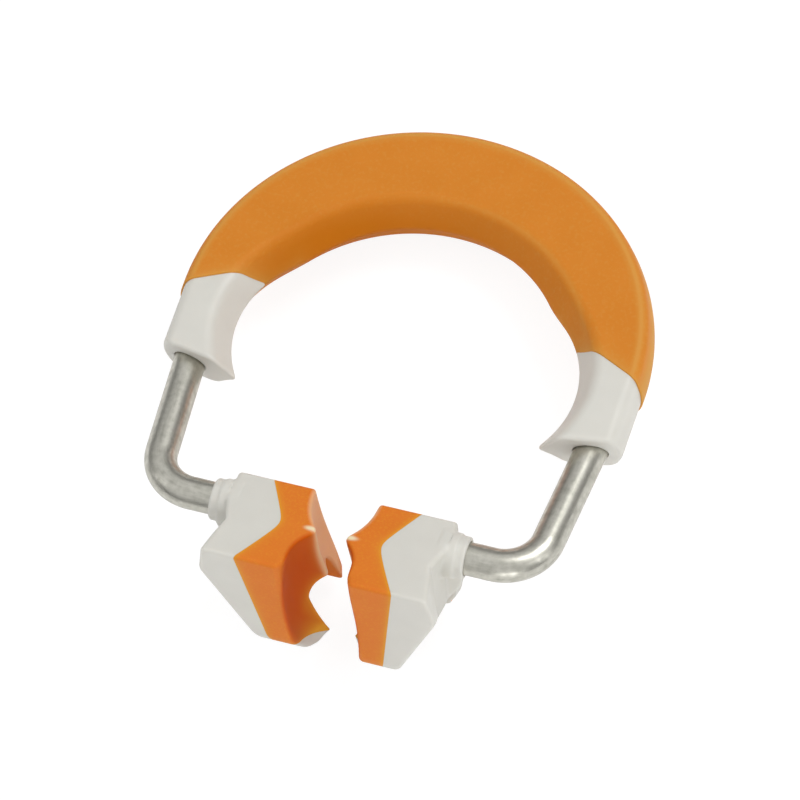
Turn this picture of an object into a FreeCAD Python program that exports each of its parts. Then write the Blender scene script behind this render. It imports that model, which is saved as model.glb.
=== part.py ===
import FreeCAD, Part
import math
import os

# Sectional matrix ring: a spring wire bent to an open ring, carried in a moulded
# C-shaped band and ending in two soft-faced tips that hold a matrix strip
# against neighbouring teeth. Millimetres. The ring is drawn flat, mid thickness
# of the band on z = 0, crown towards +y and tips towards -y, then set down on
# the table the way the finished ring comes to rest.

# Spring wire
WIRE_D = 1.8
WIRE_INSET = 0.185
WIRE_LEAN = 5.5
WIRE_BOW_Y = 4.0
WIRE_BEND_R = 2.45
LEG_RISE = 5.0
RISE_R = 8.0
RISE_Y = 0.9
TIP_AXIS_Y = -8.05
WIRE_END_X = 4.3

# Band
BAND_HALF_T = 1.85
BAND_R = 13.55
BAND_Y = 5.0
BAND_TAPER = 1.5
OUTER_BEVEL = 0.6
INNER_R = 8.35
INNER_Y = 4.0
INNER_BEVEL = 1.65
CREASE_R = INNER_R + INNER_BEVEL
CREASE_Y = 3.2
END_Y = 0.0
END_IN = (8.6, -0.15)
END_OUT = (13.3, 0.65)
END_SPARE = 1.2
END_LEAN = 9.0

# Grips, the bare white ends of the core
GRIP_STEP = 0.1
GRIP_DEPTH = 1.37
GRIP_RIM_DEPTH = 0.67
GRIP_HOLLOW_R = 5.95
GRIP_HOLLOW_X = INNER_R + GRIP_DEPTH - GRIP_HOLLOW_R
GRIP_HOLLOW_Y = 3.5
GRIP_RIM_R = CREASE_R + GRIP_RIM_DEPTH - GRIP_HOLLOW_X

# Where the wire leaves the band, a little inwards of the middle of the grip
WIRE_EXIT_X = (BAND_R + INNER_R + GRIP_DEPTH) / 2 - WIRE_INSET

# Soft cover over the middle of the core
COVER_TOP_SKIN = 0.4
COVER_OUTER_SKIN = 0.6
COVER_INNER_SKIN = 0.7
CREASE_SKIN = 0.3
BORDER_TIP = (7.6, 7.9)
BORDER_IN = (8.9, 6.35)
BORDER_OUT = (13.6, 4.1)

# Tips, the right-hand one; the left is its mirror image
TIP_REAR_Y = -6.4
TIP_FRONT_Y = -12.4
TOP_Z = 2.3
TOP_SLOPE = 15.0
NOSE = (0.84, -9.2)
NOSE_LOW = (0.05, -8.8)
SHOULDER_REAR = (1.95, -6.4)
SHOULDER_REAR_LOW = (0.64, -6.6)
SHOULDER_FRONT = (1.95, -12.4)
SIDE_X = 6.15
CHEEK_X = 6.6
CHEEK_FLARE = 0.18
WAIST = (5.7, -9.9)
SIDE_TURN_Y = -8.5
SIDE_LEAN = 20.0
SIDE_LEAN_Z = 0.9
SIDE_SWEEP = 18.0
CHIN = (-12.3, -5.6)
TOE = (-11.2, -7.85)
FOOT = (-10.5, -8.3)
LEG_END = (-9.72, -7.9)
HEEL = (-7.3, -6.4)
HEEL_REAR = (-6.5, -6.2)
LEVEL_HI = 3.4
LEVEL_LO = -8.4

# Arched notch between the two legs of a tip, which straddles the wedge
NOTCH_FRONT = (-9.86, -3.8)
NOTCH_TOP = (-8.5, -2.6)
NOTCH_REAR = (-7.6, -3.5)
NOTCH_R = 0.5

# Hollows that hug the teeth, barrel shaped
HOLLOW_FRONT_R = 2.55
HOLLOW_REAR_R = 4.0
HOLLOW_BULGE_R = 26.0
HOLLOW_Z = -2.0
HOLLOW_FRONT = (-0.43, -11.35)
HOLLOW_REAR = (-2.55, -6.75)

# Soft pad on the inner side of each tip
PAD_REAR_X = 4.4
PAD_KINK = (2.64, -9.3)
PAD_FRONT_X = 4.36
PAD_TAPER = 1.4
RIM_FRONT_Z = -5.8
RIM_FOOT_Z = -7.1

# Collars that hold the wire
COLLAR_R = 1.15
COLLAR_END_X = 7.1
BOSS_R = 1.35
BOSS_END_X = 6.6
GUSSET_T = 1.5
GUSSET_TOP = (7.0, -0.1)
GUSSET_MID = (6.66, -1.6)
GUSSET_LOW = (6.05, -2.7)

# Shift that brings the middle of the tilted ring's length to y = 0
CENTRE_Y = 2.41

# Softened edges
OUTER_EDGE_R = 1.1
BAND_EDGE_R = 0.4
TIP_EDGE_R = 0.2

# Anything closer than this counts as lying on a line or a level
NEAR = 0.05


def vec(x, y, z=0.0):
    return FreeCAD.Vector(x, y, z)


def polar(radius, degrees, cy, cx=0.0):
    a = math.radians(degrees)
    return (cx + radius * math.cos(a), cy + radius * math.sin(a))


def line(a, b, z=0.0):
    return Part.makeLine(vec(a[0], a[1], z), vec(b[0], b[1], z))


def arc(a, m, b, z=0.0):
    return Part.Arc(vec(a[0], a[1], z), vec(m[0], m[1], z), vec(b[0], b[1], z)).toShape()


def flip(p):
    return (-p[0], p[1])


def mirrored(shape):
    return shape.mirror(vec(0, 0), vec(1, 0))


def meet(c1, r1, c2, r2):
    """Right-hand crossing of two circles, the one with the larger y."""
    dx, dy = c2[0] - c1[0], c2[1] - c1[1]
    d = math.hypot(dx, dy)
    a = (r1 * r1 - r2 * r2 + d * d) / (2 * d)
    h = math.sqrt(r1 * r1 - a * a)
    mx, my = c1[0] + a * dx / d, c1[1] + a * dy / d
    first = (mx + h * dy / d, my - h * dx / d)
    second = (mx - h * dy / d, my + h * dx / d)
    return max(first, second, key=lambda p: p[1])


def band_outline(z, outer_r, inner_r, inner_y, hollow_r):
    """Closed outline of the band at one level, running on past its end faces."""
    past = END_Y - END_SPARE
    arc_end = polar(outer_r, -BAND_TAPER, BAND_Y)
    slope = math.tan(math.radians(BAND_TAPER))
    end_out = (arc_end[0] - slope * (arc_end[1] - past), past)
    join = meet((0, inner_y), inner_r, (GRIP_HOLLOW_X, GRIP_HOLLOW_Y), hollow_r)
    tail_x = GRIP_HOLLOW_X + math.sqrt(hollow_r ** 2 - (GRIP_HOLLOW_Y - past) ** 2)
    tail = (tail_x, past)
    waist = (GRIP_HOLLOW_X + hollow_r, GRIP_HOLLOW_Y)
    edges = [
        arc(arc_end, (0, BAND_Y + outer_r), flip(arc_end), z),
        line(flip(arc_end), flip(end_out), z),
        line(flip(end_out), flip(tail), z),
        arc(flip(tail), flip(waist), flip(join), z),
        arc(flip(join), (0, inner_y + inner_r), join, z),
        arc(join, waist, tail, z),
        line(tail, end_out, z),
        line(end_out, arc_end, z),
    ]
    return Part.Wire(edges)


def cover_outline(z, outer_r, inner_r, inner_y):
    """Closed outline of the plain arch that the soft cover is cut from."""
    outer_end = polar(outer_r, -BAND_TAPER, BAND_Y)
    inner_end = polar(inner_r, -BAND_TAPER, inner_y)
    edges = [
        arc(outer_end, (0, BAND_Y + outer_r), flip(outer_end), z),
        line(flip(outer_end), flip(inner_end), z),
        arc(flip(inner_end), (0, inner_y + inner_r), inner_end, z),
        line(inner_end, outer_end, z),
    ]
    return Part.Wire(edges)


def both_halves(belt, rim):
    """Solid between the belt line at mid thickness and the rims above and below."""
    upper = Part.makeLoft([belt, rim], True, True)
    lower = upper.mirror(vec(0, 0), vec(0, 0, 1))
    return upper.fuse(lower).removeSplitter()


def core_block(side, inner, top):
    """Band thinned by side, inner and top on its outer, inner and flat faces."""
    belt = band_outline(0, BAND_R - side, INNER_R + inner, INNER_Y, GRIP_HOLLOW_R)
    rim = band_outline(BAND_HALF_T - top, BAND_R - OUTER_BEVEL - side,
                       CREASE_R + CREASE_SKIN, CREASE_Y, GRIP_RIM_R)
    return both_halves(belt, rim)


def cover_block():
    belt = cover_outline(0, BAND_R, INNER_R, INNER_Y)
    rim = cover_outline(BAND_HALF_T, BAND_R - OUTER_BEVEL, CREASE_R, CREASE_Y)
    return both_halves(belt, rim)


def behind_line(points, reach=30.0, tall=10.0):
    """Everything on the crown's side of a line, given on the right and mirrored."""
    (x0, y0), (x1, y1) = points[-2], points[-1]
    edge = (reach, y0 + (reach - x0) * (y1 - y0) / (x1 - x0))
    right = points[:-1] + [edge]
    left = [flip(p) for p in reversed(right)]
    loop = right + [(reach, reach), (-reach, reach)] + left
    outline = Part.makePolygon([vec(x, y, -tall) for x, y in loop + loop[:1]])
    return Part.Face(outline).extrude(vec(0, 0, 2 * tall))


def edges_where(shape, test):
    return [edge for edge in shape.Edges if test(edge)]


def rounded(points, radii):
    """Edges along a run of points, each inner corner turned into a tangent arc."""
    edges = []
    start = points[0]
    for before, corner, after, radius in zip(points, points[1:], points[2:], radii):
        back = (before - corner).normalize()
        ahead = (after - corner).normalize()
        half = 0.5 * back.getAngle(ahead)
        reach = radius / math.tan(half)
        inwards = (back + ahead).normalize()
        middle = corner + inwards * (radius / math.sin(half) - radius)
        first = corner + back * reach
        last = corner + ahead * reach
        edges.append(Part.makeLine(start, first))
        edges.append(Part.Arc(first, middle, last).toShape())
        start = last
    edges.append(Part.makeLine(start, points[-1]))
    return edges


def leg_rise(y):
    return (RISE_Y - y) * math.tan(math.radians(LEG_RISE))


AXIS_Z = leg_rise(TIP_AXIS_Y)


def wire_half():
    """Right half of the wire's centre line, from its end in the tip to the bow."""
    slope = math.tan(math.radians(WIRE_LEAN))
    flat_y = RISE_Y + (TIP_AXIS_Y - RISE_Y) / math.cos(math.radians(LEG_RISE))
    bow_r = (WIRE_EXIT_X + slope * WIRE_BOW_Y) * math.cos(math.radians(WIRE_LEAN))
    bow_start = polar(bow_r, -WIRE_LEAN, WIRE_BOW_Y)
    points = [
        vec(WIRE_END_X, TIP_AXIS_Y, AXIS_Z),
        vec(WIRE_EXIT_X + slope * flat_y, TIP_AXIS_Y, AXIS_Z),
        vec(WIRE_EXIT_X + slope * RISE_Y, RISE_Y),
        vec(bow_start[0], bow_start[1]),
    ]
    return rounded(points, [WIRE_BEND_R, RISE_R]), bow_start, (0, WIRE_BOW_Y + bow_r)


def spring_wire():
    right, bow_start, crown = wire_half()
    left = [edge.mirror(vec(0, 0), vec(1, 0)) for edge in right]
    bow = arc(bow_start, crown, flip(bow_start))
    path = Part.Wire(Part.__sortEdges__(right + [bow] + left))
    start = vec(WIRE_END_X, TIP_AXIS_Y, AXIS_Z)
    ring = Part.Wire(Part.makeCircle(WIRE_D / 2, start, vec(1, 0)))
    return path.makePipeShell([ring], True, False, 2)


def bend_reach(edge):
    """How far a level, bent edge lies from the band's centre; None for other edges."""
    first, last = edge.ParameterRange
    bend = edge.tangentAt(first).getAngle(edge.tangentAt(last))
    if edge.BoundBox.ZLength > NEAR or bend < NEAR:
        return None
    middle = edge.valueAt((first + last) / 2)
    return math.hypot(middle.x, middle.y - BAND_Y)


def along_outside(edge):
    reach = bend_reach(edge)
    return reach is not None and reach > (BAND_R + CREASE_R) / 2 \
        and abs(edge.BoundBox.Center.z) > NEAR


def along_inside(edge):
    reach = bend_reach(edge)
    return reach is not None and reach < (BAND_R + CREASE_R) / 2


def band_pieces(wire):
    """White core of the band, and the soft cover moulded round its middle."""
    grips = core_block(GRIP_STEP, COVER_INNER_SKIN, GRIP_STEP)
    grips = grips.makeFillet(OUTER_EDGE_R, edges_where(grips, along_outside))
    grips = grips.makeFillet(BAND_EDGE_R, edges_where(grips, along_inside))
    keep = behind_line([END_IN, END_OUT])
    keep.rotate(vec(0, 0), vec(1, 0), END_LEAN)
    grips = grips.common(keep)
    behind = behind_line([BORDER_TIP, BORDER_IN, BORDER_OUT])
    inside = core_block(COVER_OUTER_SKIN, COVER_INNER_SKIN, COVER_TOP_SKIN)
    core = grips.cut(behind).fuse(inside.common(behind)).removeSplitter()
    cover = cover_block()
    cover = cover.makeFillet(OUTER_EDGE_R, edges_where(cover, along_outside))
    cover = cover.makeFillet(BAND_EDGE_R, edges_where(cover, along_inside))
    cover = cover.common(behind).cut(core).cut(wire)
    return core.cut(wire), cover


def top_at(y):
    return TOP_Z + (NOSE[1] - y) * math.tan(math.radians(TOP_SLOPE))


def side_prism(points, x0, x1):
    """Slab seen from the side: an outline of y and z values drawn out along x."""
    outline = Part.makePolygon([vec(x0, y, z) for y, z in points + points[:1]])
    return Part.Face(outline).extrude(vec(x1 - x0, 0, 0))


def tip_column():
    """Plan shape of a tip, leaning in towards its foot."""
    rear_y, front_y = TIP_REAR_Y + 1, TIP_FRONT_Y - 1

    def level(z, nose, rear, front):
        def run_on(inner, y):
            t = (y - nose[1]) / (inner[1] - nose[1])
            return (nose[0] + t * (inner[0] - nose[0]), y)
        cheek_x = CHEEK_X + CHEEK_FLARE * (SIDE_LEAN_Z - z)
        points = [nose, run_on(rear, rear_y), (SIDE_X, rear_y), (SIDE_X, SIDE_TURN_Y),
                  WAIST, (cheek_x, TIP_FRONT_Y), (cheek_x, front_y), run_on(front, front_y)]
        return Part.makePolygon([vec(x, y, z) for x, y in points + points[:1]])

    low = level(LEVEL_LO, NOSE_LOW, SHOULDER_REAR_LOW, SHOULDER_FRONT)
    high = level(LEVEL_HI, NOSE, SHOULDER_REAR, SHOULDER_FRONT)
    return Part.makeLoft([low, high], True, True)


def barrel(centre, radius):
    """Barrel with an upright axis, widest at the depth where a tooth is widest."""
    reach = LEVEL_HI - HOLLOW_Z
    waist = radius - HOLLOW_BULGE_R + math.sqrt(HOLLOW_BULGE_R ** 2 - reach ** 2)
    x, y = centre
    low, high = HOLLOW_Z - reach, HOLLOW_Z + reach
    bulge = Part.Arc(vec(x + waist, y, low), vec(x + radius, y, HOLLOW_Z),
                     vec(x + waist, y, high)).toShape()
    rest = Part.makePolygon([vec(x + waist, y, high), vec(x, y, high), vec(x, y, low),
                             vec(x + waist, y, low)])
    outline = Part.Wire([bulge] + rest.Edges)
    return Part.Face(outline).revolve(vec(x, y), vec(0, 0, 1), 360)


def soft_tip_edge(edge):
    """Every edge of a tip but those of the wedge notch, which stay crisp."""
    middle = edge.CenterOfMass
    return not (NOTCH_FRONT[0] - NEAR < middle.y < HEEL[0] + NEAR
                and middle.z < NOTCH_TOP[1] + NEAR)


def notch_corner(edge):
    corners = (NOTCH_FRONT, NOTCH_TOP, NOTCH_REAR)
    middle = edge.CenterOfMass
    return any(math.hypot(middle.y - y, middle.z - z) < NEAR for y, z in corners)


def tip_shape():
    """Outside of the right-hand tip, pad and body together."""
    side_points = [
        (TIP_REAR_Y, top_at(TIP_REAR_Y)), (TIP_FRONT_Y, top_at(TIP_FRONT_Y)),
        CHIN, TOE, FOOT, LEG_END, NOTCH_FRONT, NOTCH_TOP, NOTCH_REAR, HEEL, HEEL_REAR,
    ]
    profile = side_prism(side_points, 0, SIDE_X + 1)
    profile = profile.makeFillet(NOTCH_R, edges_where(profile, notch_corner))
    lean = Part.makeBox(10, 40, 40, vec(0, -20, -40))
    lean.rotate(vec(0, 0), vec(0, 1, 0), SIDE_LEAN)
    lean.rotate(vec(0, 0), vec(0, 0, 1), -SIDE_SWEEP)
    lean.translate(vec(CHEEK_X, TIP_FRONT_Y, SIDE_LEAN_Z))
    tip = profile.common(tip_column()).cut(lean).removeSplitter()
    tip = tip.makeFillet(TIP_EDGE_R, edges_where(tip, soft_tip_edge))
    tip = tip.cut(barrel(HOLLOW_FRONT, HOLLOW_FRONT_R))
    return tip.cut(barrel(HOLLOW_REAR, HOLLOW_REAR_R))


def pad_region():
    """Space taken by the soft pad: inside a leaning V, down to the rim of the foot."""
    rear_y, front_y = TIP_REAR_Y + 1, TIP_FRONT_Y - 1

    def level(z, inwards):
        points = [(-1, rear_y), (PAD_REAR_X - inwards, rear_y),
                  (PAD_REAR_X - inwards, TIP_REAR_Y),
                  (PAD_KINK[0] - inwards * 0.4, PAD_KINK[1]),
                  (PAD_FRONT_X - inwards, TIP_FRONT_Y),
                  (PAD_FRONT_X - inwards, front_y), (-1, front_y)]
        return Part.makePolygon([vec(x, y, z) for x, y in points + points[:1]])

    wedge = Part.makeLoft([level(LEVEL_LO, PAD_TAPER), level(LEVEL_HI, 0)], True, True)
    slope = (RIM_FOOT_Z - RIM_FRONT_Z) / (FOOT[0] - TIP_FRONT_Y)
    rear_z = RIM_FOOT_Z + slope * (rear_y - FOOT[0])
    front_z = RIM_FRONT_Z + slope * (front_y - TIP_FRONT_Y)
    above_rim = side_prism([(front_y, front_z), (rear_y, rear_z), (rear_y, LEVEL_HI),
                            (front_y, LEVEL_HI)], -1, SIDE_X)
    return wedge.common(above_rim)


def collar():
    """Sleeve for the wire, its boss against the tip, and the gusset under it."""
    start = SIDE_X - 0.6
    sleeve = Part.makeCylinder(COLLAR_R, COLLAR_END_X - start,
                               vec(start, TIP_AXIS_Y, AXIS_Z), vec(1, 0))
    boss = Part.makeCylinder(BOSS_R, BOSS_END_X - start,
                             vec(start, TIP_AXIS_Y, AXIS_Z), vec(1, 0))
    y0 = TIP_AXIS_Y - GUSSET_T / 2
    low, mid, top = [vec(p[0], y0, p[1]) for p in (GUSSET_LOW, GUSSET_MID, GUSSET_TOP)]
    back = vec(WIRE_END_X, y0, GUSSET_LOW[1] + 1)
    back_top = vec(WIRE_END_X, y0, AXIS_Z)
    over = vec(GUSSET_TOP[0], y0, AXIS_Z)
    outline = Part.Wire([Part.Arc(low, mid, top).toShape()]
                        + Part.makePolygon([top, over, back_top, back, low]).Edges)
    gusset = Part.Face(outline).extrude(vec(0, GUSSET_T, 0))
    return sleeve.fuse(boss).fuse(gusset)


def tip_pieces(wire):
    tip = tip_shape()
    region = pad_region()
    pad = tip.common(region)
    above = side_prism([(0, top_at(0)), (-20, top_at(-20)), (-20, 20), (0, 20)],
                       0, SIDE_X)
    body = tip.fuse(collar().cut(above)).cut(region).cut(wire).removeSplitter()
    return body, pad


def resting_tilt():
    """Angle at which the ring rests on the feet of its tips and its crown's edge."""
    lean = math.atan2(OUTER_BEVEL, BAND_HALF_T)
    inset = OUTER_EDGE_R * math.tan(math.pi / 4 - lean / 2)
    round_y = BAND_Y + BAND_R - OUTER_BEVEL - inset
    round_z = OUTER_EDGE_R - BAND_HALF_T
    run, drop = round_y - FOOT[0], round_z - FOOT[1]
    return math.acos(OUTER_EDGE_R / math.hypot(run, drop)) - math.atan2(run, drop)


def set_down(shape):
    """Turn a piece from the flat drawing to the ring's resting place on z = 0."""
    tilt = resting_tilt()
    placed = shape.copy()
    placed.rotate(vec(0, 0), vec(1, 0), -math.degrees(tilt))
    foot_z = FOOT[1] * math.cos(tilt) - FOOT[0] * math.sin(tilt)
    placed.translate(vec(0, -CENTRE_Y, -foot_z))
    return placed


def main():
    os.makedirs("parts", exist_ok=True)
    wire = spring_wire()
    core, cover = band_pieces(wire)
    body, pad = tip_pieces(wire)
    pieces = {
        "spring_wire": wire,
        "band_core": core,
        "band_cover": cover,
        "right_tip_body": body,
        "right_tip_pad": pad,
        "left_tip_body": mirrored(body),
        "left_tip_pad": mirrored(pad),
    }
    for name, shape in pieces.items():
        set_down(shape).exportStep("parts/" + name + ".step")


main()
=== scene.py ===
import math

import bpy
import numpy as np
from bpy.props import FloatProperty, FloatVectorProperty, PointerProperty, StringProperty
from mathutils import Matrix, Vector


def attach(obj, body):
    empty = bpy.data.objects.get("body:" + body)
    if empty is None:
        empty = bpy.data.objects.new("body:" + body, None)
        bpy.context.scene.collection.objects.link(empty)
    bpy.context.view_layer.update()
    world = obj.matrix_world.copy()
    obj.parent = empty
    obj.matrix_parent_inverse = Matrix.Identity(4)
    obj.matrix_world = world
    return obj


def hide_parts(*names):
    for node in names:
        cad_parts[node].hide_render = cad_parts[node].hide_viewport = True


bl_info = {
    "name": "Sectional matrix ring",
    "version": (1, 0, 0),
    "blender": (4, 5, 0),
    "location": "View3D > Sidebar > Matrix Ring",
    "description": "Builds a dental sectional matrix ring and the studio it is shown in",
    "category": "Add Mesh",
}

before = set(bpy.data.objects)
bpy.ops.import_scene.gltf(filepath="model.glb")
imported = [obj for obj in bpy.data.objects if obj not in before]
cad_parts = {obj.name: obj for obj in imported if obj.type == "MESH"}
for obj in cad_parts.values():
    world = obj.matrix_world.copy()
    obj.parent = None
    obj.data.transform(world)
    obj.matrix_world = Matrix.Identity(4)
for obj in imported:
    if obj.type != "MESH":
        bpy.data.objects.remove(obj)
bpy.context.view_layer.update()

MM = 0.001
SHARP_EDGE = math.radians(40)


# Sizes and finishes

def size(name, millimetres, text):
    return FloatProperty(name=name, description=text, default=millimetres * MM,
                         precision=5, unit="LENGTH")


def spot(name, millimetres, text):
    return FloatVectorProperty(name=name, description=text, precision=5, unit="LENGTH",
                               size=len(millimetres), default=[v * MM for v in millimetres])


def angle(name, degrees, text):
    return FloatProperty(name=name, description=text, default=math.radians(degrees),
                         subtype="ANGLE")


def colour(name, code, text):
    return StringProperty(name=name, description=text, default=code)


class RestSizes(bpy.types.PropertyGroup):
    tilt: angle("Tilt", 13.0731, "Lean of the ring's plane as it rests")
    lift: size("Lift", 5.7099, "Height of the ring's drawing origin above the table")
    back: size("Back", 2.41, "Shift that centres the resting ring along its length")


class WireSizes(bpy.types.PropertyGroup):
    diameter: size("Diameter", 1.8, "Diameter of the spring wire")
    exit_x: size("Exit", 11.45, "Distance of each leg from the middle where it leaves the band")
    lean: angle("Lean", 5.5, "Angle by which the legs draw in towards the tips")
    bow_y: size("Bow centre", 4.0, "Centre of the bow inside the band")
    bend_r: size("Bend radius", 2.45, "Radius of the bend at the end of each leg")
    rise: angle("Rise", 5.0, "Angle by which the legs climb out of the band's plane")
    rise_r: size("Rise radius", 8.0, "Radius of the bend where the legs start to climb")
    rise_y: size("Rise start", 0.9, "Place where the legs start to climb")
    tip_y: size("Tip axis", -8.05, "Place of the wire's ends inside the tips")
    end_x: size("End", 4.3, "Distance of the wire's ends from the middle")


class BandSizes(bpy.types.PropertyGroup):
    half_t: size("Half thickness", 1.85, "Half the band's thickness")
    outer: size("Outer radius", 13.55, "Radius of the band's outer belt")
    outer_y: size("Outer centre", 5.0, "Centre of the outer belt")
    taper: angle("Taper", 1.5, "Angle by which the straight outer sides draw in")
    bevel: size("Outer bevel", 0.6, "Amount by which the outer side slopes in to the flat faces")
    inner: size("Inner radius", 8.35, "Radius of the inner belt")
    inner_y: size("Inner centre", 4.0, "Centre of the inner belt")
    crease: size("Crease radius", 10.0, "Radius of the crease between flat face and inner bevel")
    crease_y: size("Crease centre", 3.2, "Centre of the crease")
    hollow: size("Grip hollow", 5.95, "Radius of the hollow inside each grip")
    hollow_at: spot("Grip hollow centre", (3.77, 3.5), "Centre of the hollow inside a grip")
    hollow_bevel: size("Grip bevel", 0.95, "Extra radius of the hollow at the flat faces")
    outer_round: size("Lower outer rounding", 1.1, "Rounding of the cover's lower outer edge")
    upper_round: size("Upper outer rounding", 0.65, "Rounding of the upper outer edges")
    crease_round: size("Crease rounding", 0.8, "Rounding of the crease")
    grip_round: size("Grip rounding", 0.75, "Rounding of the grips' lower outer edges")
    inner_round: size("Inner rounding", 0.4, "Rounding of the inner belt")
    belt_round: size("Belt rounding", 3.0, "Rounding of the outer belt")
    end_in: spot("End, inner", (8.6, -0.15), "Inner corner of a grip's end face")
    end_out: spot("End, outer", (13.3, 0.65), "Outer corner of a grip's end face")
    end_lean: angle("End lean", 9.0, "Lean of the end faces")
    end_round: size("End rounding", 0.28, "Rounding of the edges of the end faces")
    wire_gap: size("Wire gap", 0.03, "Gap between the wire and the hole it leaves by")
    border_mid: size("Border, crown side", 7.9, "Place where the cover's border starts")
    border_tip: size("Border tip", 7.6, "Distance from the middle where the border turns")
    border_in: spot("Border, inner", (8.9, 6.35), "Point of the border at the inner belt")
    border_out: spot("Border, outer", (13.6, 4.1), "Point of the border at the outer belt")
    step: size("Step", 0.1, "Height of the cover over the grips")
    lip: size("Lip", 0.1, "Rounding of the cover's border")
    skin_top: size("Skin on the flat faces", 0.4, "Thickness of the cover on the flat faces")
    skin_outer: size("Skin outside", 0.6, "Thickness of the cover on the outer side")
    skin_inner: size("Skin inside", 0.7, "Thickness of the cover on the inner side")
    skin_crease: size("Skin at the crease", 0.3, "Thickness of the cover at the crease")


class TipSizes(bpy.types.PropertyGroup):
    grain: size("Mesh step", 0.085, "Width of the faces of the tips' meshes")
    rear_y: size("Rear", -6.4, "Rear face of a tip")
    front_y: size("Front", -12.4, "Front face of a tip")
    top_z: size("Top", 2.28, "Height of the top face at the nose")
    top_slope: angle("Top slope", 15.0, "Slope of the top face")
    low_z: size("Lower level", -8.4, "Level at which the lower plan is drawn")
    high_z: size("Upper level", 3.4, "Level at which the upper plan is drawn")
    nose: spot("Nose", (0.84, -9.2), "Point of the nose at the upper level")
    nose_low: spot("Nose, low", (0.05, -8.8), "Point of the nose at the lower level")
    rear: spot("Rear shoulder", (1.95, -6.4), "Inner rear corner at the upper level")
    rear_low: spot("Rear shoulder, low", (0.64, -6.6), "Inner rear corner at the lower level")
    fore: spot("Front shoulder", (1.95, -12.4), "Inner front corner")
    side_x: size("Side", 6.15, "Outer side of a tip")
    side_turn: size("Side turn", -8.5, "Place where the outer side turns in to the waist")
    waist: spot("Waist", (5.7, -9.9), "Narrowest place of the outer side")
    cheek_x: size("Cheek", 6.6, "Outer side at the front")
    flare: FloatProperty(name="Flare", description="Widening of the cheek downwards", default=0.18)
    lean: angle("Side lean", 20.0, "Lean of the slanted lower side")
    lean_z: size("Side lean level", 0.9, "Level at which the slanted lower side starts")
    sweep: angle("Side sweep", 18.0, "Turn of the slanted lower side towards the front")
    chin: spot("Chin", (-12.3, -5.6), "Chin, seen from the side")
    toe: spot("Toe", (-11.2, -7.85), "Toe, seen from the side")
    foot: spot("Foot", (-10.5, -8.3), "Lowest point of a tip, seen from the side")
    leg_end: spot("Leg end", (-9.72, -7.9), "Rear end of the front leg, from the side")
    heel: spot("Heel", (-7.3, -6.4), "Front end of the rear leg, from the side")
    heel_rear: spot("Heel, rear", (-6.5, -6.2), "Rear end of the rear leg, from the side")
    notch_fore: spot("Notch, front", (-9.86, -3.8), "Front corner of the wedge notch")
    notch_top: spot("Notch, top", (-8.5, -2.6), "Highest point of the wedge notch")
    notch_rear: spot("Notch, rear", (-7.6, -3.5), "Rear corner of the wedge notch")
    notch_round: size("Notch rounding", 0.5, "Rounding inside the wedge notch")
    fore_hollow: spot("Front hollow", (-0.43, -11.35), "Axis of the front hollow")
    fore_hollow_r: size("Front hollow radius", 2.55, "Widest radius of the front hollow")
    rear_hollow: spot("Rear hollow", (-2.55, -6.75), "Axis of the rear hollow")
    rear_hollow_r: size("Rear hollow radius", 4.0, "Widest radius of the rear hollow")
    rear_hollow_lean: angle("Rear hollow lean", 8.5, "Outward lean of the rear hollow's axis")
    bulge: size("Bulge", 26.0, "Radius of the hollows' barrel shape")
    bulge_z: size("Bulge level", -2.0, "Level at which the hollows are widest")
    pad_rear: size("Pad, rear", 4.4, "Outer border of the pad at the rear")
    pad_kink: spot("Pad kink", (2.64, -9.3), "Point of the pad's border")
    pad_fore: size("Pad, front", 4.36, "Outer border of the pad at the front")
    kink_round: size("Kink rounding", 0.45, "Rounding of the kink in the pad's border")
    pad_taper: size("Pad taper", 1.4, "Amount by which the pad narrows downwards")
    rim_fore: size("Rim, front", -5.8, "Lower border of the pad at the front")
    rim_foot: size("Rim, foot", -7.3, "Lower border of the pad over the foot")
    collar_r: size("Collar radius", 1.15, "Radius of the collar")
    collar_x: size("Collar end", 7.1, "Outer end of the collar")
    boss_r: size("Boss radius", 1.24, "Radius of the boss behind the collar")
    boss_x: size("Boss end", 6.6, "Outer end of the boss")
    gusset_t: size("Gusset thickness", 1.5, "Thickness of the gusset under the collar")
    gusset_top: spot("Gusset, top", (7.0, -0.1), "Upper point of the gusset's edge")
    gusset_mid: spot("Gusset, middle", (6.66, -1.6), "Middle point of the gusset's edge")
    gusset_low: spot("Gusset, low", (6.05, -2.7), "Lower point of the gusset's edge")
    edge_round: size("Edge rounding", 0.24, "Rounding of the tips' outer edges")
    hollow_round: size("Hollow rounding", 0.2, "Rounding of the hollows' edges")


class FinishSettings(bpy.types.PropertyGroup):
    cover: colour("Cover", "D68328", "Orange of the band's soft cover")
    # Painted shade: the darker orange painted on the cover's inner bevel
    cover_painted_shade: colour("Cover, deep", "C67000", "Orange of the cover's inner bevel")
    # Painted light: the paler orange painted through the cover's thin edges, and its painted
    # highlights
    cover_painted_light: colour("Cover, thin", "D69A46", "Yellower orange of the cover's edges")
    pad: colour("Pad", "E07C28", "Orange of the tips' soft pads")
    # Painted shade: the darker orange painted inside the pads' hollows
    pad_painted_shade: colour("Pad, deep", "C85600", "Orange inside the hollows of the pads")
    # Painted light: the yellow painted through the pads' thin rims and borders
    pad_painted_light: colour("Pad, thin", "E6A22C", "Yellow of the pads' thin edges")
    # Painted highlight: the pale tone of the sheen painted on the pads
    flash: colour("Flash", "EFDDB8", "Pale tone of the moulding flash on the pads")
    white: colour("White", "DCDAD2", "White of the mouldings")
    white_cloud: colour("White, clouded", "D4D2CA", "Second, faintly darker white")
    steel: colour("Steel", "D2D0C6", "Tone of the spring wire")
    steel_dull: colour("Steel, dull", "A4A398", "Tone of the wire's dull streaks")
    floor: colour("Floor", "FFFFFF", "Tone of the table")


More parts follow.
